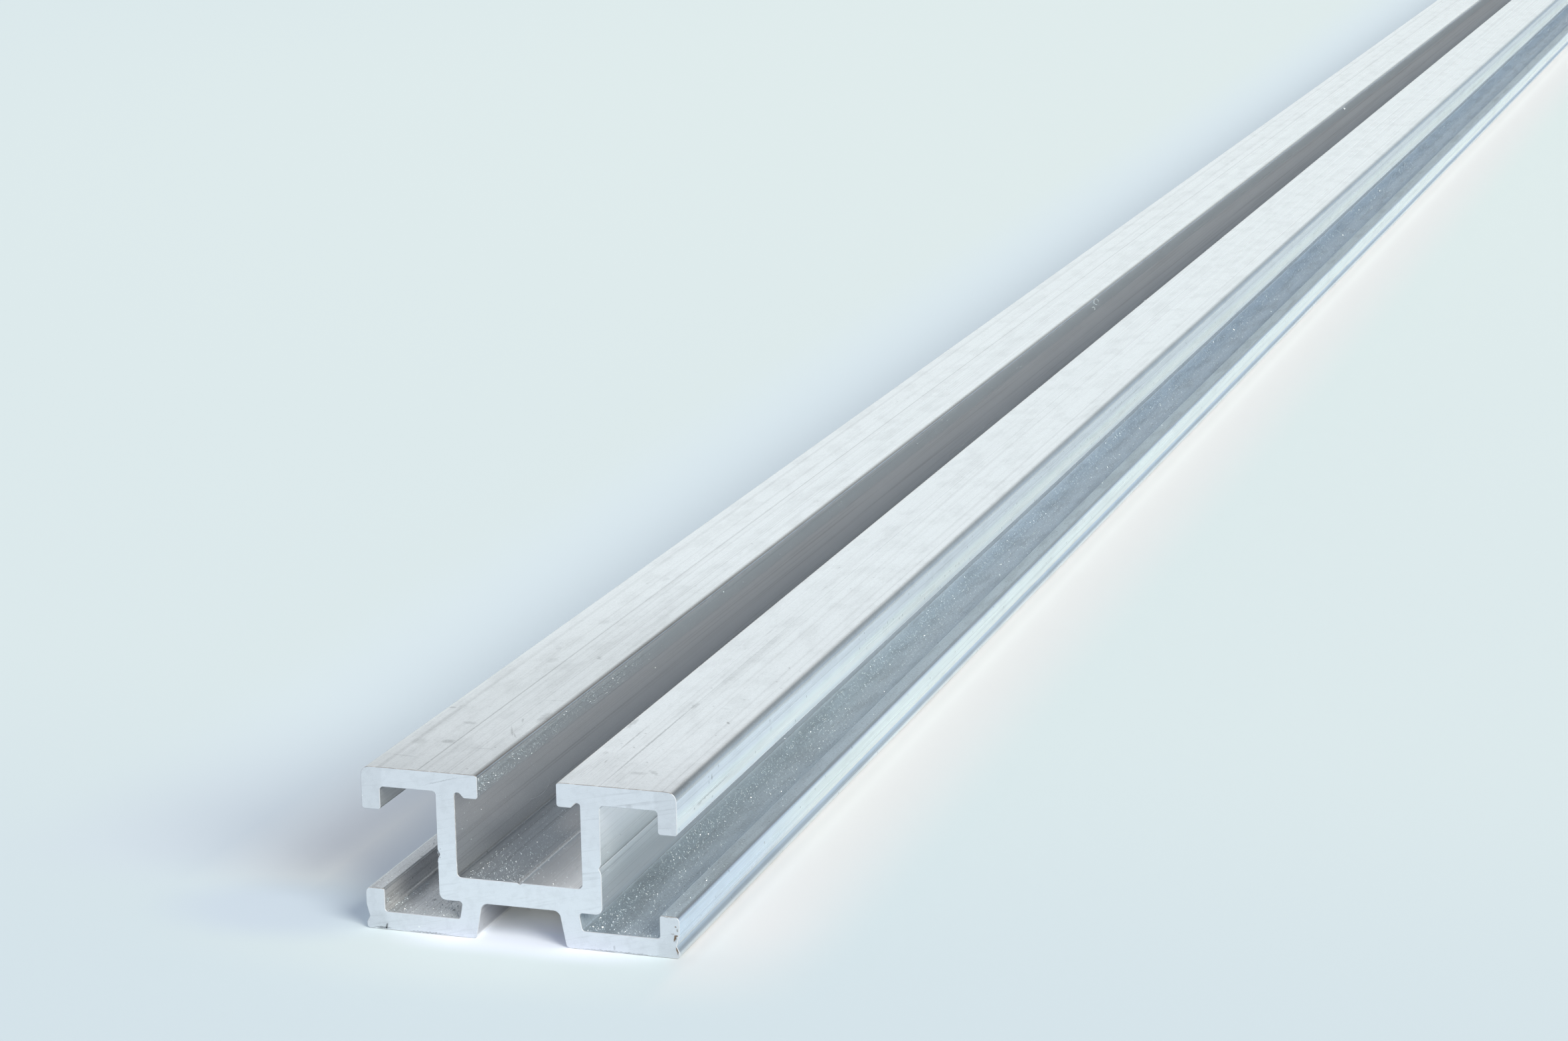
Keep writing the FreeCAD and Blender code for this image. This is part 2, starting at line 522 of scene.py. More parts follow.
# Scratches and spots on the right flange's outer side: middle and half sizes along and up, depth
side_marks = (
    ((13.0, 16.8), (8.0, 0.14), 0.30),
    ((8.0, 16.7), (1.2, 0.3), 0.18),
    ((12.6, 18.5), (0.22, 0.55), 0.55),
    ((6.2, 16.6), (0.3, 0.2), 0.30),
    ((12.6, 16.0), (0.5, 0.2), 0.25),
    ((35.0, 17.7), (0.7, 0.4), 0.12),
)

# Tones up the outer sides, from the foot's edge past its groove and lip to the flange's side, painted as the
# light and dark bands of their reflection, dark in the foot's groove and at the roundings: level, colour
side_tones = (
    (0.3, (0.90, 0.95, 0.98)), (0.6, (0.86, 0.93, 0.97)), (0.75, (0.78, 0.85, 0.89)),
    (0.9, (0.56, 0.59, 0.63)), (1.1, (0.57, 0.595, 0.62)), (1.35, (0.85, 0.86, 0.87)),
    (1.55, (0.97, 1.0, 1.0)), (1.8, (0.90, 0.99, 1.0)), (2.6, (0.85, 0.97, 1.0)),
    (3.15, (0.83, 0.96, 1.0)), (3.5, (0.85, 0.97, 1.0)), (4.5, (0.85, 0.97, 1.0)),
    (4.72, (0.86, 0.93, 1.0)), (4.88, (0.85, 0.82, 0.82)), (5.01, (0.60, 0.56, 0.545)),
    (5.11, (0.61, 0.645, 0.655)), (5.2, (0.72, 0.785, 0.81)), (15.15, (0.86, 0.93, 1.0)),
    (15.5, (0.78, 0.84, 0.91)), (15.9, (0.885, 0.945, 1.0)), (16.3, (0.95, 0.985, 1.0)),
    (16.8, (0.95, 0.98, 1.0)), (17.4, (0.91, 0.97, 1.0)), (18.0, (0.84, 0.885, 0.97)),
    (18.6, (0.83, 0.87, 0.96)), (19.35, (0.83, 0.87, 0.96)),
)

# A painted bluer tint of the reflection up the right foot's outer side beside the saw cut, greyer low down:
# level, colour
near_foot_tones = (
    (0.4, (0.86, 0.86, 0.85)), (1.5, (0.84, 0.83, 0.82)), (2.0, (0.82, 0.86, 0.965)),
    (4.4, (0.82, 0.86, 0.965)), (4.95, (0.98, 0.98, 0.99)),
)
above_foot = 10.0


def outer_side_finish():
    """The flanges' and the feet's outer sides: clean and bright, with a few scratches near the cut, toned up
    their height with painted bands of reflection.
    """
    material, tree = new_material("outer_side_finish")
    place, across, along, level = place_in_mm(tree)
    lines = drawn_lines(tree, place)
    uneven = ragged(tree, place, 1.6, 0.3)
    marks = [blot(tree, uneven, (half_width, *middle), (1.0, *size), depth)
             for middle, size, depth in side_marks]
    marks += [
        die_line(tree, level, 18.4, 0.16, 0.12),
        die_line(tree, level, 3.0, 0.14, 0.12),
        fade(tree, lines, 0.48, 0.34, 0.0, 0.11),
        mottled(tree, place, 0.25, 0.5, 4.0, 0.6, 0.52, 0.34, 0.05),
        mottled(tree, place, 0.02, 1.2, 2.0, 0.5, 0.50, 0.40, 0.06),
        # Painted shade: the flange's side darker from 50 mm on.
        product(tree, fade(tree, along, 50.0, 120.0, 0.0, 0.12), above(tree, level, above_foot)),
        specks(tree, place, 0.7, 0.16, 0.10, 0.3),
    ]
    near_foot = product(tree, fade(tree, along, 60.0, 20.0), below(tree, level, above_foot),
                        above(tree, across, 0.0))
    tint = ramped(tree, level, side_tones)
    tint = blend(tree, near_foot, tint, ramped(tree, level, near_foot_tones), "MULTIPLY")
    glints = [specks(tree, place, 2.1, 0.13, 0.05),
              edge_dust(tree, place, along, fade(tree, level, 17.2, 19.0, 0.0, 0.8))]
    dressed(tree, tint, marks, glints, lines, 1.0, 0.28, 0.04)
    return material


# Tones across the groove in the channel's floor, a painted highlight and painted shade on its faces: distance
# from the middle, colour
groove_tones = (
    (-0.45, (0.95, 0.96, 0.98)), (-0.36, (1.0, 1.0, 1.0)), (-0.29, (0.66, 0.66, 0.67)),
    (-0.20, (0.42, 0.43, 0.44)), (-0.10, (0.52, 0.545, 0.56)), (0.0, (0.72, 0.75, 0.78)),
    (0.10, (0.93, 0.97, 1.0)), (0.30, (0.83, 0.87, 0.90)), (0.42, (0.78, 0.80, 0.84)),
)

# Tones up the slot's left face, painted shade that darkens it deeper in the slot: level, colour
slot_tones = (
    (17.6, (0.61, 0.66, 0.70)), (18.3, (0.66, 0.72, 0.76)), (19.0, (0.69, 0.76, 0.80)),
    (19.7, (0.76, 0.84, 0.88)), (20.1, (0.92, 0.98, 1.0)),
)
# Where the painted tan reflection lies on the channel's floor: middle and half sizes
tan_reflection_middle = (-1.6, 26.0, channel_floor)
tan_reflection_size = (3.8, 9.5, 1.0)


def bolt_channel_finish():
    """The bolt channel and its slot: drawn and dark, with painted shade on the left, a painted tan reflection
    on its floor, painted light and shade across its groove and up the slot, full of fine swarf near the cut.
    """
    material, tree = new_material("bolt_channel_finish")
    place, across, along, level = place_in_mm(tree)
    lines = drawn_lines(tree, place)
    out = maths(tree, "ABSOLUTE", across)
    on_left_web = below(tree, across, 0.3 - half_channel)
    on_floor = below(tree, level, channel_floor + 0.3)
    on_slot = product(tree, fade(tree, level, 17.5, 17.9), below(tree, across, 0.0))
    marks = [
        fade(tree, lines, 0.50, 0.34, 0.0, 0.20),
        # Painted shade: darker towards the left, low on the left web, in its corner with the floor and on the
        # floor beside it
        fade(tree, across, 2.0, -6.0, 0.0, 0.10),
        product(tree, fade(tree, level, 11.0, 8.0, 0.0, 0.12), on_left_web),
        product(tree, fade(tree, level, 8.0, 7.87, 0.0, 0.2), fade(tree, across, -7.6, -7.72)),
        product(tree, fade(tree, across, -5.8, -6.9, 0.0, 0.13), on_floor),
        specks(tree, place, 0.9, 0.15, 0.15, 0.25),
    ]
    in_groove = product(tree, fade(tree, out, 0.46, 0.38),
                        fade(tree, level, channel_floor + 0.3, channel_floor + 0.1))
    painted_tan_reflection = blot(tree, place, tan_reflection_middle, tan_reflection_size, 1.0, core=0.35)
    # Painted shade: the channel tinted darker on the left than on the right
    tint = blend(tree, fade(tree, across, -1.0, 1.5), (0.745, 0.765, 0.79), (1.0, 0.985, 0.98))
    tint = blend(tree, painted_tan_reflection, tint, (0.97, 0.94, 0.93))
    tint = blend(tree, in_groove, tint, ramped(tree, across, groove_tones))
    tint = blend(tree, on_slot, tint, ramped(tree, level, slot_tones))
    glints = [
        product(tree, specks(tree, place, 4.5, 0.24, 0.38), fade(tree, along, 110.0, 15.0, 0.0, 0.75)),
        product(tree, specks(tree, place, 3.4, 0.22, 0.45), fade(tree, along, 50.0, 34.0), on_slot),
        specks(tree, place, 1.6, 0.12, 0.10),
    ]
    dressed(tree, tint, marks, glints, lines, 0.92, 0.30, 0.06)
    return material


# Tones up a web past its groove, painted light and shade: a painted dark crease at its foot, bright up to the
# groove, painted dark and light bands across the groove, darker towards the flange: level, colour
web_tones = (
    (4.6, (0.42, 0.41, 0.40)), (4.86, (0.46, 0.45, 0.44)), (5.02, (0.72, 0.75, 0.78)),
    (5.2, (0.78, 0.82, 0.86)), (5.9, (0.97, 0.99, 1.0)), (9.5, (0.97, 0.99, 1.0)),
    (9.62, (0.72, 0.74, 0.77)), (10.0, (0.63, 0.64, 0.65)), (10.1, (0.65, 0.63, 0.61)),
    (10.17, (0.90, 0.86, 0.83)), (10.22, (0.90, 0.87, 0.84)), (10.28, (0.67, 0.67, 0.67)),
    (10.75, (0.98, 1.0, 1.0)), (12.2, (0.97, 0.99, 1.0)), (13.6, (0.92, 0.95, 0.98)),
    (15.5, (0.885, 0.91, 0.955)),
)


def side_channel_finish():
    """The webs and the flanges' undersides: clean where the swarf falls past, dusty at the web's foot, with
    painted shade on the left side, darkest inside the left side lip.
    """
    material, tree = new_material("side_channel_finish")
    place, across, _, level = place_in_mm(tree)
    lines = drawn_lines(tree, place)
    marks = [
        fade(tree, lines, 0.47, 0.34, 0.0, 0.11),
        mottled(tree, place, 0.004, 3.2, 3.0, 0.7, 0.47, 0.36, 0.12),
        die_line(tree, level, 10.9, 0.10, 0.10),
        die_line(tree, level, 9.35, 0.10, 0.12),
        specks(tree, place, 0.9, 0.15, 0.15, 0.25),
    ]
    # Painted shade: the left side tinted darker than the right, darkest inside the left side lip.
    in_left_lip = below(tree, across, 0.2 - side_lip_face)
    left_tint = blend(tree, in_left_lip, (0.81, 0.80, 0.79), (0.70, 0.72, 0.74))
    tint = blend(tree, above(tree, across, 0.0), left_tint, ramped(tree, level, web_tones))
    glints = [product(tree, specks(tree, place, 3.8, 0.24, 0.45), fade(tree, level, 5.9, 5.0, 0.0, 0.7)),
              specks(tree, place, 1.6, 0.12, 0.08)]
    dressed(tree, tint, marks, glints, lines, 0.88, 0.32, 0.06)
    return material


# Spots on the left foot and its lip: middle along the section and the length, level, half sizes, depth
left_foot_marks = (
    ((-13.5, 5.4, foot_top), (0.35, 0.5, 1.0), 0.45),
    ((-9.75, 2.6, foot_top), (0.25, 0.35, 1.0), 0.5),
    ((-17.9, 12.0, foot_lip_top), (0.2, 0.35, 1.0), 0.5),
    ((-17.9, 21.0, foot_lip_top), (0.18, 0.5, 1.0), 0.45),
)

# Tones of the right foot and of its lip's top along the length: distance from the near end, colour
right_foot_tones = (
    (0.0, (0.63, 0.695, 0.75)), (100.0, (0.80, 0.87, 0.925)), (200.0, (0.82, 0.895, 0.97)),
    (400.0, (0.745, 0.83, 0.92)),
)
right_lip_tones = (
    (3.0, (0.72, 0.79, 0.83)), (18.0, (0.71, 0.77, 0.80)), (60.0, (0.78, 0.86, 0.92)),
    (160.0, (0.87, 0.96, 1.0)),
)


def foot_channel_finish():
    """The feet's tops and lips: duller than the rest, with the fine grey dust of the saw."""
    material, tree = new_material("foot_channel_finish")
    place, across, along, level = place_in_mm(tree)
    lines = drawn_lines(tree, place)
    dust = noise(tree, place, (1.0, 1.0, 1.0), 4.0, 3.0, 0.7)
    uneven = ragged(tree, place, 2.5, 0.4)
    marks = [blot(tree, uneven, *mark) for mark in left_foot_marks]
    marks += [
        fade(tree, lines, 0.50, 0.34, 0.0, 0.08),
        fade(tree, dust, 0.52, 0.32, 0.0, 0.20),
        mottled(tree, place, 0.15, 0.5, 3.0, 0.6, 0.55, 0.35, 0.12),
        product(tree, mottled(tree, place, 0.02, 2.6, 2.0, 0.6, 0.50, 0.38, 0.15), below(tree, across, 0.0)),
        specks(tree, place, 1.2, 0.2, 0.15, 0.25),
    ]
    on_lip = above(tree, level, foot_lip_top - 0.3)
    in_left_lip = below(tree, across, 0.35 - foot_lip_face)
    left_tint = blend(tree, in_left_lip, (0.67, 0.695, 0.725), (0.85, 0.85, 0.86))
    left_tint = blend(tree, on_lip, left_tint, (0.55, 0.57, 0.60))
    right_tint = ramped(tree, along, right_foot_tones)
    right_tint = blend(tree, on_lip, right_tint, ramped(tree, along, right_lip_tones))
    tint = blend(tree, above(tree, across, 0.0), left_tint, right_tint)
    height = total(tree, product(tree, lines, 0.5), product(tree, dust, 0.5))
    glints = [specks(tree, place, 4.0, 0.24, 0.35, 0.5), specks(tree, place, 2.4, 0.15, 0.24)]
    dressed(tree, tint, marks, glints, height, 0.75, 0.42, 0.05)
    return material


def underside_finish():
    """The underside and its groove: plain and dull, with painted shade darkening the legs inside the groove.
    """
    material, tree = new_material("underside_finish")
    place, _, _, level = place_in_mm(tree)
    lines = drawn_lines(tree, place)
    marks = [
        fade(tree, lines, 0.50, 0.34, 0.0, 0.22),
        mottled(tree, ragged(tree, place), 0.2, 0.4, 4.0, 0.6, 0.5, 0.34, 0.08),
        specks(tree, place, 0.9, 0.15, 0.15, 0.25),
    ]
    # Painted shade on the legs' inner faces inside the groove.
    on_leg = product(tree, fade(tree, level, 0.3, 0.7), fade(tree, level, 4.4, 4.0))
    tint = blend(tree, on_leg, (0.93, 0.93, 0.95), (0.51, 0.52, 0.55))
    dressed(tree, tint, marks, None, lines, 0.4, 0.40, 0.07)
    return material


# Marks on the sawn near end: middle, half sizes, depth, turn in degrees
end_marks = (
    ((-7.3, 13.7), (0.16, 0.2), 0.55, 0),
    ((-7.9, 12.9), (0.14, 0.14), 0.5, 0),
    ((-10.0, 10.9), (0.14, 0.12), 0.4, 0),
    ((-10.1, 9.8), (0.12, 0.12), 0.4, 0),
    ((-9.6, 19.4), (3.2, 0.08), 0.22, -17),
    ((-17.4, 0.5), (0.16, 0.5), 0.55, 15),
    ((-17.9, 0.24), (1.4, 0.17), 0.42, 0),
    ((-12.0, 0.16), (3.6, 0.11), 0.40, 0),
    ((12.6, 0.13), (6.4, 0.10), 0.30, 0),
    ((11.8, 0.6), (0.2, 0.45), 0.22, 0),
    ((14.1, 18.3), (0.6, 0.3), 0.14, 0),
    ((19.5, 2.5), (0.25, 0.6), 0.2, 0),
)

# Brown spots on the foot lip beside the sawn end's right edge: middle, half sizes, strength, turn in degrees
rust_marks = (
    ((19.42, 2.50), (0.22, 0.55), 1.0, 20),
    ((19.62, 2.85), (0.26, 0.14), 1.0, 0),
    ((19.66, 1.05), (0.14, 0.68), 1.0, -16),
    ((19.52, 3.98), (0.17, 0.12), 0.9, 0),
    ((19.75, 3.55), (0.17, 0.22), 0.55, 0),
    ((19.15, 3.05), (0.30, 0.16), 0.35, 0),
    ((18.7, 5.12), (0.9, 0.12), 0.45, 0),
)

# Tones up the sawn end: level, colour
sawn_tones = (
    (0.0, (0.84, 0.865, 0.91)), (3.0, (0.865, 0.89, 0.94)), (6.0, (0.905, 0.93, 0.975)),
    (10.0, (0.895, 0.92, 0.965)), (15.0, (0.87, 0.885, 0.925)),
)
rust_brown = (0.22, 0.15, 0.10)
stroke_turn = (0.0, math.radians(14), 0.0)
score_turn = (0.0, math.radians(9), 0.0)


def end_blots(tree, place, rows):
    """Blots on the sawn near end."""
    return [blot(tree, place, (x, 0.0, z), (half_x, 2.0, half_z), depth, (0, turn, 0))
            for (x, z), (half_x, half_z), depth, turn in rows]


def saw_cut_finish():
    """A sawn end: matt and pale, with the saw's slanting strokes, a few dark spots and specks of swarf."""
    material, tree = new_material("saw_cut_finish")
    place, across, _, level = place_in_mm(tree)
    uneven = ragged(tree, place, 3.0, 0.35)
    out = maths(tree, "ABSOLUTE", across)
    strokes = noise(tree, place, (0.05, 1.0, 1.0), 3.2, 3.0, 0.6, stroke_turn)
    scores = noise(tree, place, (0.04, 1.0, 1.0), 0.9, 3.0, 0.7, score_turn)
    grit = noise(tree, place, (1.0, 1.0, 1.0), 9.0, 2.0, 0.6)
    marks = end_blots(tree, uneven, end_marks) + [
        fade(tree, strokes, 0.46, 0.34, 0.0, 0.055),
        fade(tree, scores, 0.40, 0.30, 0.0, 0.10),
        fade(tree, grit, 0.44, 0.30, 0.0, 0.07),
        mottled(tree, place, 1.0, 0.7, 4.0, 0.65, 0.55, 0.35, 0.05),
        fade(tree, level, 2.6, 0.6, 0.0, 0.07),
        fade(tree, out, side_lip_face - 0.6, side_lip_face, 0.0, 0.07),
    ]
    sparkle = total(tree, specks(tree, place, 0.9, 0.12, 0.14), specks(tree, place, 3.5, 0.2, 0.2, 0.6))
    rust = total(tree, *end_blots(tree, uneven, rust_marks))
    colour = darkened(tree, ramped(tree, level, sawn_tones), marks)
    colour = blend(tree, sparkle, colour, (0.97, 0.99, 0.98))
    colour = blend(tree, rust, colour, rust_brown)
    height = total(tree, product(tree, strokes, 0.6), product(tree, grit, 0.4))
    skinned(tree, Base_Color=colour, Metallic=0.9, Roughness=0.42, Normal=bumped(tree, height, 0.06))
    return material


def saw_rim_finish():
    """The thin rim left by the saw: broken and brown along the tops and the bottom, where it is also painted
    contact shade, grey elsewhere.
    """
    material, tree = new_material("saw_rim_finish")
    place, across, _, level = place_in_mm(tree)
    out = maths(tree, "ABSOLUTE", across)
    broken = noise(tree, place, (0.6, 1.0, 1.0), 1.4, 3.0, 0.7)
    brown = steps(tree, broken, ((0.34, (0.66, 0.67, 0.67)), (0.44, (0.44, 0.42, 0.40)),
                                 (0.58, (0.28, 0.26, 0.25))))
    soiled_and_shaded = total(
        tree,
        fade(tree, level, top_level - 0.25, top_level - 0.12),
        # Along the bottom the brown is also painted contact shade.
        fade(tree, level, 0.12, 0.04),
        product(tree, die_line(tree, level, foot_lip_top, 0.2, 1.0), above(tree, out, foot_lip_face)),
        die_line(tree, across, -half_channel, 0.2, 0.6),
    )
    colour = blend(tree, maths(tree, "MINIMUM", soiled_and_shaded, 1.0), (0.60, 0.62, 0.65), brown)
    skinned(tree, Base_Color=colour, Metallic=0.4, Roughness=0.65)
    return material


# In the order of the finishes' numbers
for finish in (flange_top_finish, outer_side_finish, bolt_channel_finish, side_channel_finish,
               foot_channel_finish, underside_finish, saw_cut_finish, saw_rim_finish):
    batten_mesh.materials.append(finish())

# The swarf.
# Fine bright chips from the saw, thrown along the inside of the channels and left lying where
# they fell, thickest near the sawn ends. They are aluminium, a tenth to a third of a millimetre across.

far_share = 0.15
chip_sizes = (0.5, 0.6, 0.7, 0.8, 0.9, 1.0, 1.6)
size_spread = (0.85, 1.2)
flatness = (0.55, 0.9)
longer = (1.0, 1.3)
tilt = (-0.5, 0.5)
any_turn = (0, 6.28)
from_cut = 0.3


def swarf_finish():
    """Torn aluminium, from grey to bright."""
    material, tree = new_material("swarf_finish")
    place = place_in_mm(tree)[0]
    tint = steps(tree, noise(tree, place, (1.0, 1.0, 1.0), 1.5, 1.0, 0.5),
                 ((0.35, (0.60, 0.67, 0.71)), (0.5, (0.82, 0.89, 0.93)), (0.75, (0.96, 0.97, 0.97))))
    skinned(tree, Base_Color=tint, Metallic=0.5, Roughness=0.3)
    return material


bright_swarf = swarf_finish()

chip = bmesh.new()
bmesh.ops.create_uvsphere(chip, u_segments=4, v_segments=2, radius=1.0)
chip_corners = np.array([corner.co for corner in chip.verts])
chip_sides = [[corner.index for corner in side.verts] for side in chip.faces]
chip.free()


def lay_swarf(name, beds, seed):
    """Many chips joined into one piece.

    A bed is a strip from one (x, z) edge to another, the way it faces, its number of chips, how far they
    reach from the near end, how much they gather there, and the size of its chips.
    """
    chance = random.Random(seed)
    corners = []
    for first, second, facing, count, reach, gather, grain in beds:
        stand = Vector((facing[0], 0, facing[1])).to_track_quat("Z", "Y").to_matrix()
        for number in range(count):
            along = from_cut + reach * chance.random() ** gather
            if chance.random() < far_share:
                along = stock_length - along
            size = grain * chance.choice(chip_sizes) * chance.uniform(*size_spread)
            thin = size * chance.uniform(*flatness)
            share = chance.random()
            spot = Vector((first[0] + (second[0] - first[0]) * share, along,
                           first[1] + (second[1] - first[1]) * share))
            spot += stand @ Vector((0, 0, thin))
            turn = Euler((chance.uniform(*tilt), chance.uniform(*tilt), chance.uniform(*any_turn)))
            shape = stand @ turn.to_matrix() @ Matrix.Diagonal((size * chance.uniform(*longer), size, thin))
            corners.append(chip_corners @ np.array(shape).T + np.array(spot))
    sides = [[corner + number * len(chip_corners) for corner in side]
             for number in range(len(corners)) for side in chip_sides]
    places = np.concatenate(corners) * mm + np.array((0.0, near_end, 0.0))
    mesh = bpy.data.meshes.new(name)
    mesh.from_pydata(places.tolist(), [], sides)
    mesh.materials.append(bright_swarf)
    piece = bpy.data.objects.new(name, mesh)
    bpy.context.scene.collection.objects.link(piece)
    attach(piece, "root")


def mirrored(beds):
    """The same beds on the left."""
    return [((-first[0], first[1]), (-second[0], second[1]), (-facing[0], facing[1]), *others)
            for first, second, facing, *others in beds]


side_beds = (
    ((8.2, foot_top), (17.3, foot_top), (0, 1), 17500, 1000, 1.3, 0.050),
    ((8.2, foot_top), (10.6, foot_top), (0, 1), 3200, 900, 1.3, 0.058),
    ((8.6, foot_top), (17.0, foot_top), (0, 1), 360, 900, 1.3, 0.085),
    ((web_face - 0.12, floor_underside + 0.45), (web_face - 0.02, floor_underside + 0.75), (1, -0.3), 200,
     900, 1.2, 0.05),
    ((foot_lip_face + 0.25, foot_lip_top), (half_width - 0.6, foot_lip_top), (0, 1), 350, 700, 2.0, 0.045),
    ((web_face, 6.0), (web_face, 13.0), (1, 0), 150, 700, 2.5, 0.04),
)
channel_beds = (
    ((-7.2, channel_floor), (0.5, channel_floor), (0, 1), 4600, 700, 1.6, 0.040),
    ((-7.2, channel_floor), (1.0, channel_floor), (0, 1), 1100, 44, 1.0, 0.034),
    ((-7.2, channel_floor), (7.2, channel_floor), (0, 1), 3000, 1000, 1.5, 0.040),
    ((-half_channel, 8.5), (-half_channel, 17.0), (1, 0), 500, 900, 1.7, 0.034),
    ((half_channel, 8.5), (half_channel, 17.0), (-1, 0), 300, 900, 1.8, 0.034),
    ((-half_slot, 17.9), (-half_slot, 20.0), (1, 0), 900, 56, 1.3, 0.030),
    ((-half_slot, 17.9), (-half_slot, 20.0), (1, 0), 700, 800, 1.8, 0.038),
    ((half_slot, 17.9), (half_slot, 20.0), (-1, 0), 300, 800, 1.6, 0.036),
)
lay_swarf("swarf_right", side_beds, 11)
left_beds = [
    *mirrored(side_beds),
    ((-web_face, 5.4), (-web_face, 11.6), (-1, 0), 60, 0.1, 1.0, 0.07),
    ((-17.35, foot_top), (-16.6, foot_top), (0, 1), 80, 9, 1.3, 0.052),
    ((-foot_lip_face, 2.9), (-foot_lip_face, 3.8), (1, 0), 36, 4, 1.3, 0.05),
]
lay_swarf("swarf_left", left_beds, 12)
lay_swarf("swarf_bolt_channel", channel_beds, 13)

# The saw curls.
# A few fine curled threads of aluminium that the saw tore off. They cling to the edges of the
# slot and to the bolt channel's left web.

# Middle, radius, half thickness, sweep in degrees, rise, turn in degrees
curls = (
    ((-4.80, 316.0, 19.75), 0.55, 0.06, 280, 0.7, (80, 10, 30)),
    ((-4.55, 313.0, 18.9), 0.30, 0.05, 200, 0.4, (60, 40, 0)),
    ((4.75, 262.0, 19.6), 0.40, 0.05, 220, 0.4, (30, 60, 0)),
    ((4.80, 318.0, 19.8), 0.35, 0.05, 220, 0.4, (80, 0, 20)),
    ((-4.80, 608.0, 19.8), 0.45, 0.06, 240, 0.4, (70, 20, 60)),
    ((-7.88, 23.0, 12.6), 2.60, 0.009, 85, 0.1, (60, 88, 0)),
    ((-7.88, 27.5, 15.0), 2.20, 0.008, 70, 0.1, (240, 88, 0)),
)
curl_steps = 12


def curl(threads, middle, radius, thickness, sweep, rise, turn):
    """One curled thread round a middle, in millimetres and degrees."""
    start = Matrix.Translation((radius, 0, 0)) @ Matrix.Rotation(math.radians(90), 4, "X")
    thread = bmesh.new()
    bmesh.ops.create_circle(thread, cap_ends=True, segments=5, radius=thickness, matrix=start)
    bmesh.ops.spin(thread, geom=thread.verts[:] + thread.edges[:] + thread.faces[:], cent=(0, 0, 0),
                   axis=(0, 0, 1), dvec=(0, 0, rise / curl_steps), angle=math.radians(sweep),
                   steps=curl_steps, use_merge=False)
    bmesh.ops.recalc_face_normals(thread, faces=thread.faces[:])
    turned = Euler([math.radians(angle) for angle in turn]).to_matrix().to_4x4()
    place = Matrix.Translation((0, near_end, 0)) @ Matrix.Scale(mm, 4) @ Matrix.Translation(middle) @ turned
    bmesh.ops.transform(thread, matrix=place, verts=thread.verts[:])
    loose = bpy.data.meshes.new("loose thread")
    thread.to_mesh(loose)
    thread.free()
    threads.from_mesh(loose)
    bpy.data.meshes.remove(loose)


threads = bmesh.new()
for torn in curls:
    curl(threads, *torn)
thread_mesh = bpy.data.meshes.new("saw_curls")
threads.to_mesh(thread_mesh)
threads.free()
thread_mesh.materials.append(bright_swarf)
saw_curls = bpy.data.objects.new("saw_curls", thread_mesh)
bpy.context.scene.collection.objects.link(saw_curls)
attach(saw_curls, "root")

# The floor and the studio.
# A pale sweep under soft light: an even dome that is brighter behind the camera, and one
# broad lamp from the front right, low enough to lay the batten's shadow on its left. Painted light and
# shade are laid on the sweep's tone too, beside, before and under the stock.

floor_half_size = 12.0
floor_mesh = bpy.data.meshes.new("floor")
sheet = bmesh.new()
bmesh.ops.create_grid(sheet, x_segments=1, y_segments=1, size=floor_half_size)
sheet.to_mesh(floor_mesh)
sheet.free()
floor = bpy.data.objects.new("floor", floor_mesh)
bpy.context.scene.collection.objects.link(floor)

pale, pale_tree = new_material("pale_floor")
floor_place, floor_x, floor_y, _ = place_in_mm(pale_tree)
beside_stock = fade(pale_tree, floor_y, stock_length + 15.0, stock_length - 60.0)


def pool(middle, size, core):
    """A soft round patch of the floor: middle and half sizes in millimetres."""
    return blot(pale_tree, floor_place, (*middle, 0.0), (*size, 1.0), 1.0, core=core)


def lane(from_left, from_right, from_front):
    """A soft strip of the floor that ends with the stock: where each side starts and where it is full."""
    return product(pale_tree, fade(pale_tree, floor_x, *from_left), fade(pale_tree, floor_x, *from_right),
                   fade(pale_tree, floor_y, *from_front), beside_stock)


# Painted shadow tones for the floor to the left of the stock, across it and then along it.
painted_left_shadow = steps(pale_tree, fade(pale_tree, floor_x, -20.0, -70.0), (
    (0.05, (0.78, 0.84, 0.87)), (0.16, (0.97, 1.0, 0.97)), (0.35, (0.83, 0.88, 0.90)),
    (0.65, (0.70, 0.78, 0.84))))
painted_left_shadow = blend(pale_tree, fade(pale_tree, floor_y, 25.0, 90.0), painted_left_shadow, (0.785, 0.885, 0.925))
# Painted light under the stock, brighter past its first few millimetres.
painted_light_under_stock = blend(pale_tree, fade(pale_tree, floor_y, 3.0, 12.0), (0.92, 0.97, 1.07), (1.62, 1.60, 1.44))

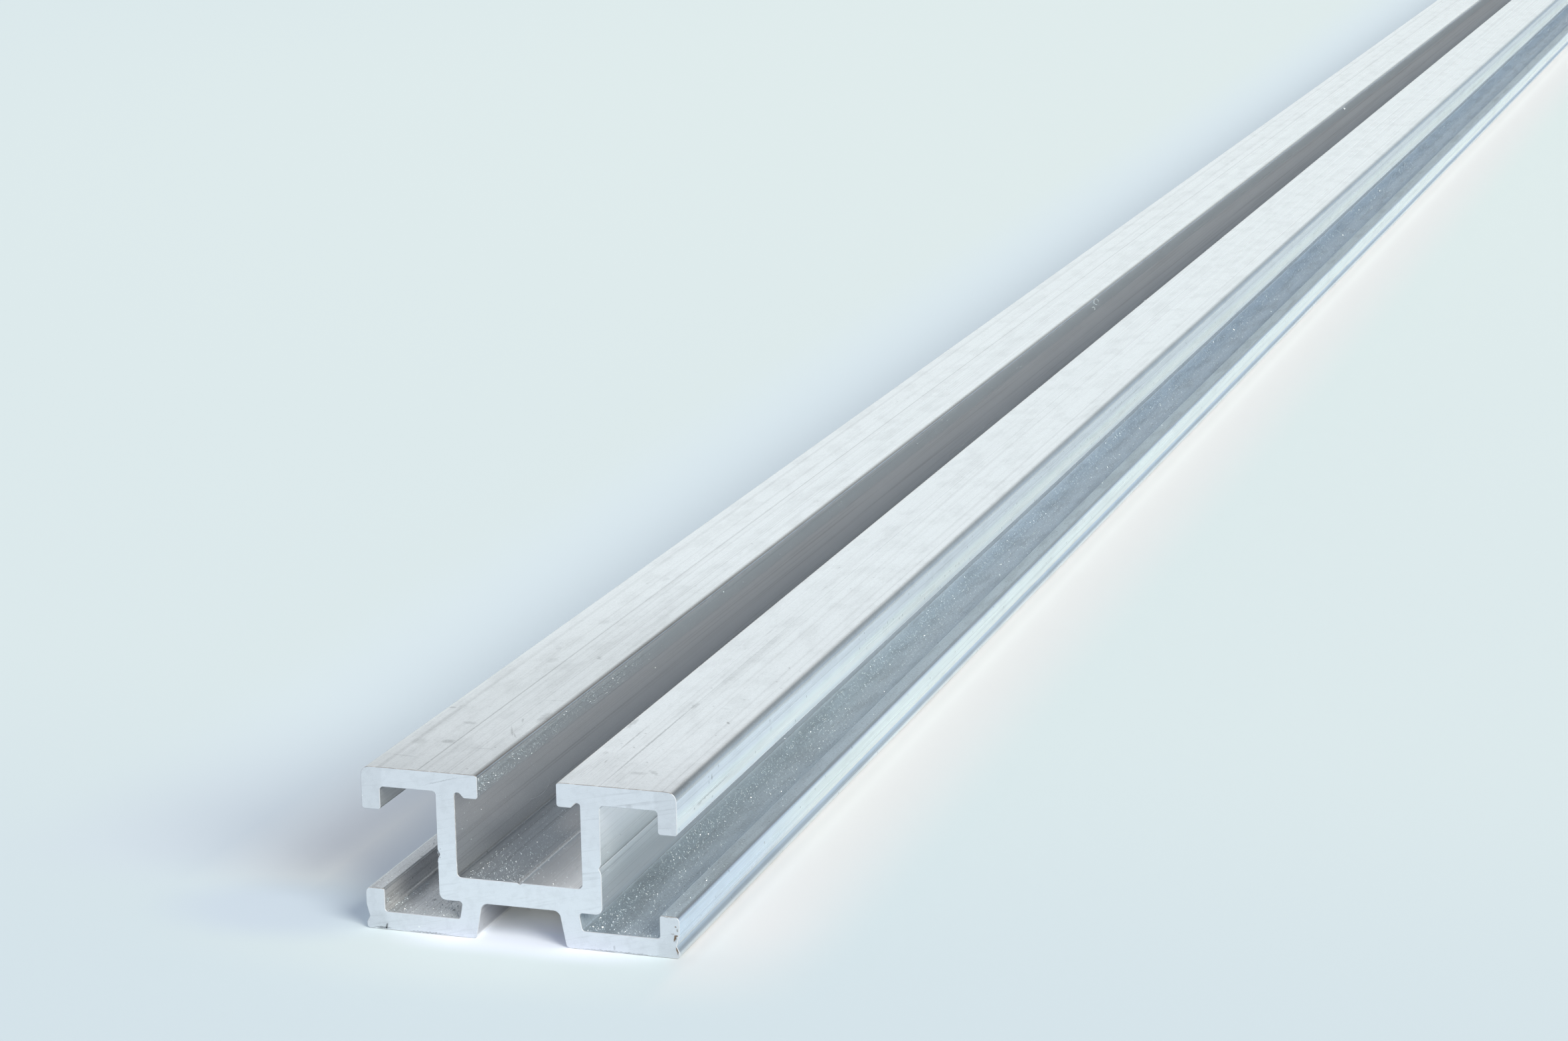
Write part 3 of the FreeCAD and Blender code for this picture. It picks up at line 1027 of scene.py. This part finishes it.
# Painted light and shade on the floor, from the whole floor to the strips beside and under the stock, each
# over the one before: where, tone
floor_tone_with_painted_light = (0.745, 0.840, 0.848)
for where, tone in (
    # A painted pool of light far along the stock
    (pool((0.0, 1000.0), (700.0, 1080.0), 0.3), (0.778, 0.866, 0.853)),
    # Painted shade in front of the near end
    (pool((20.0, -110.0), (520.0, 230.0), 0.25), (0.690, 0.790, 0.830)),
    # Painted light on the floor before the feet
    (pool((-4.0, -5.0), (46.0, 17.0), 0.2), (0.735, 0.825, 0.84)),
    # Painted shadow to the left of the stock, deepened near the cut
    (lane((-85.0, -55.0), (-18.0, -22.0), (2.0, 22.0)), painted_left_shadow),
    (pool((-33.0, 3.0), (20.0, 13.0), 0.3), (0.665, 0.755, 0.835)),
    # A painted bright strip beside the right foot, then painted contact shade against it
    (lane((19.5, 22.0), (40.0, 24.0), (-20.0, 16.0)), (0.868, 0.868, 0.870)),
    (lane((18.0, 20.0), (23.0, 20.5), (-6.0, 6.0)), (0.765, 0.755, 0.76)),
    # Painted light under the stock
    (lane((-19.0, -8.0), (19.0, 8.0), (-6.0, 0.0)), painted_light_under_stock),
):
    floor_tone_with_painted_light = blend(pale_tree, where, floor_tone_with_painted_light, tone)
pale_skin = add(pale_tree, "ShaderNodeBsdfDiffuse", Color=floor_tone_with_painted_light)
add(pale_tree, "ShaderNodeOutputMaterial", Surface=pale_skin.outputs[0])
floor_mesh.materials.append(pale)

world = bpy.data.worlds.new("studio")
bpy.context.scene.world = world
world.use_nodes = True
sky = world.node_tree
sky.nodes.clear()
ray = add(sky, "ShaderNodeLightPath").outputs
toward = add(sky, "ShaderNodeTexCoord").outputs["Generated"]
heading = add(sky, "ShaderNodeSeparateXYZ", Vector=toward).outputs

# What the metal mirrors, by how high it looks: a pale wall on the left, a dark one on the right
beyond_left = steps(sky, heading["Z"], (
    (0.0, (0.874, 0.905, 0.885)), (0.20, (0.96, 1.05, 1.055)), (0.32, (0.89, 0.96, 0.995)),
    (0.52, (0.82, 0.84, 0.86)), (1.0, (0.86, 0.88, 0.89))))
beyond_right = steps(sky, heading["Z"], (
    (0.0, (0.43, 0.62, 0.83)), (0.20, (0.54, 0.70, 0.85)), (0.32, (0.40, 0.48, 0.55)),
    (0.52, (0.16, 0.18, 0.21)), (1.0, (0.18, 0.20, 0.23))))
behind_camera = (0.64, 0.68, 0.76)
mirrored_tone = blend(sky, fade(sky, heading["X"], -0.1, 0.25), beyond_left, beyond_right)
mirrored_tone = blend(sky, fade(sky, heading["Y"], 0.2, -0.3), mirrored_tone, behind_camera)

dome_tone = ramped(sky, heading["Y"], ((-1.0, (0.74, 0.77, 0.87)), (1.0, (0.28, 0.295, 0.34))))
backdrop_tone = (0.72, 0.83, 0.84)
seen_tone = blend(sky, ray["Is Camera Ray"], mirrored_tone, backdrop_tone)
shows = maths(sky, "MAXIMUM", ray["Is Camera Ray"], ray["Is Glossy Ray"])
shows = maths(sky, "MAXIMUM", shows, ray["Is Transmission Ray"])
sky_light = add(sky, "ShaderNodeBackground", Color=blend(sky, shows, dome_tone, seen_tone), Strength=1.0)
add(sky, "ShaderNodeOutputWorld", Surface=sky_light.outputs[0])

lamp_data = bpy.data.lights.new("key_lamp", "SUN")
lamp_data.angle = math.radians(30)
lamp_data.energy = 2.8
lamp_data.color = (1.0, 0.98, 0.86)
key_lamp = bpy.data.objects.new("key_lamp", lamp_data)
lamp_aim = Vector((0.0, near_end, 0.0))
lamp_place = lamp_aim + 2.0 * Vector((0.72, -0.48, 0.50))
key_lamp.matrix_world = (Matrix.Translation(lamp_place)
                         @ (lamp_aim - lamp_place).to_track_quat("-Z", "Y").to_matrix().to_4x4())
bpy.context.scene.collection.objects.link(key_lamp)

# The camera.
# It looks down along the batten from the right of its sawn near end.

camera_place = Vector((158.81, -379.75, 153.31)) * mm + Vector((0, near_end, 0))
camera_heading = math.radians(18.232)
camera_rise = math.radians(90 - 13.963)
camera_roll = math.radians(-0.946)
camera_data = bpy.data.cameras.new("camera")
camera_data.sensor_width = 36.0
camera_data.lens = 84.04
camera_data.clip_start = 0.01
camera = bpy.data.objects.new("camera", camera_data)
camera.matrix_world = (Matrix.Translation(camera_place) @ Matrix.Rotation(camera_heading, 4, "Z")
                       @ Matrix.Rotation(camera_rise, 4, "X") @ Matrix.Rotation(camera_roll, 4, "Z"))
bpy.context.scene.collection.objects.link(camera)
bpy.context.scene.camera = camera
bpy.context.scene.view_settings.view_transform = "Standard"
